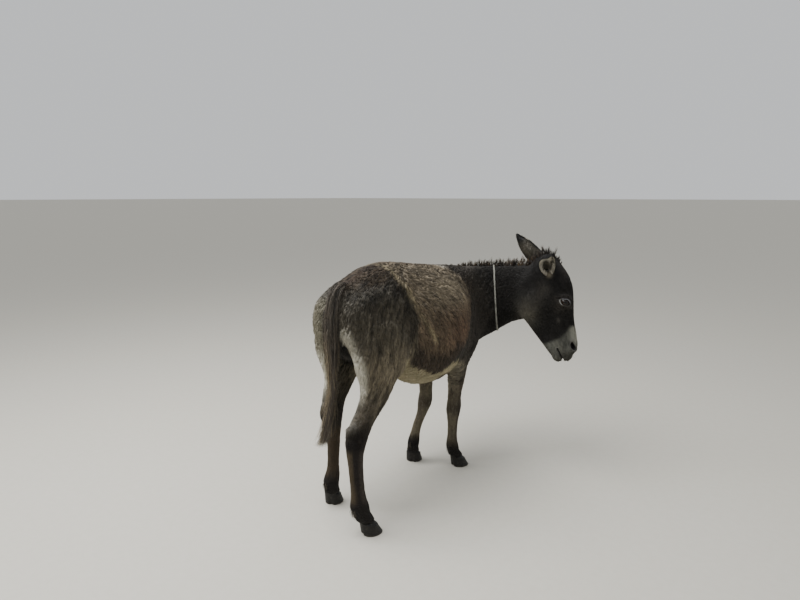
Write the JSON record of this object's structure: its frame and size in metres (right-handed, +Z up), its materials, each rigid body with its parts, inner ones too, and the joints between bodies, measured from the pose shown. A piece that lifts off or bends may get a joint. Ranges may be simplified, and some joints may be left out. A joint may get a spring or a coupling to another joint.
{
  "type": "standing donkey model",
  "caption": "Life-size still model of a standing donkey, head turned to its right and lowered, with long ears, hanging tail, hooves and a thin rope round its neck.",
  "frame": {"origin": "middle of the bounding box on the floor under the hooves", "axes": "+Z up, the body faces -Y, the donkey's left side is +X"},
  "size_m": [0.794, 1.234, 1.1842],
  "materials": {
    "coat": "rough short hair",
    "long_hair": "coarse long hair",
    "hoof_horn": "dry worn horn",
    "eye": "wet gloss",
    "rope": "twisted cord"
  },
  "bodies": {
    "root": {"trunk": "coat", "neck": "coat", "head": "coat", "ear_left": "coat", "ear_right": "coat", "tail_dock": "coat", "fore_left_upper": "coat", "fore_left_lower": "coat", "fore_right_upper": "coat", "fore_right_lower": "coat", "hind_left_upper": "coat", "hind_left_lower": "coat", "hind_right_upper": "coat", "hind_right_lower": "coat", "mane": "long_hair", "forelock": "long_hair", "tail_switch": "long_hair", "hoof_fore_left": "hoof_horn", "hoof_fore_right": "hoof_horn", "hoof_hind_left": "hoof_horn", "hoof_hind_right": "hoof_horn", "eye_left": "eye", "eye_right": "eye", "neck_rope": "rope"}
  },
  "joints": []
}
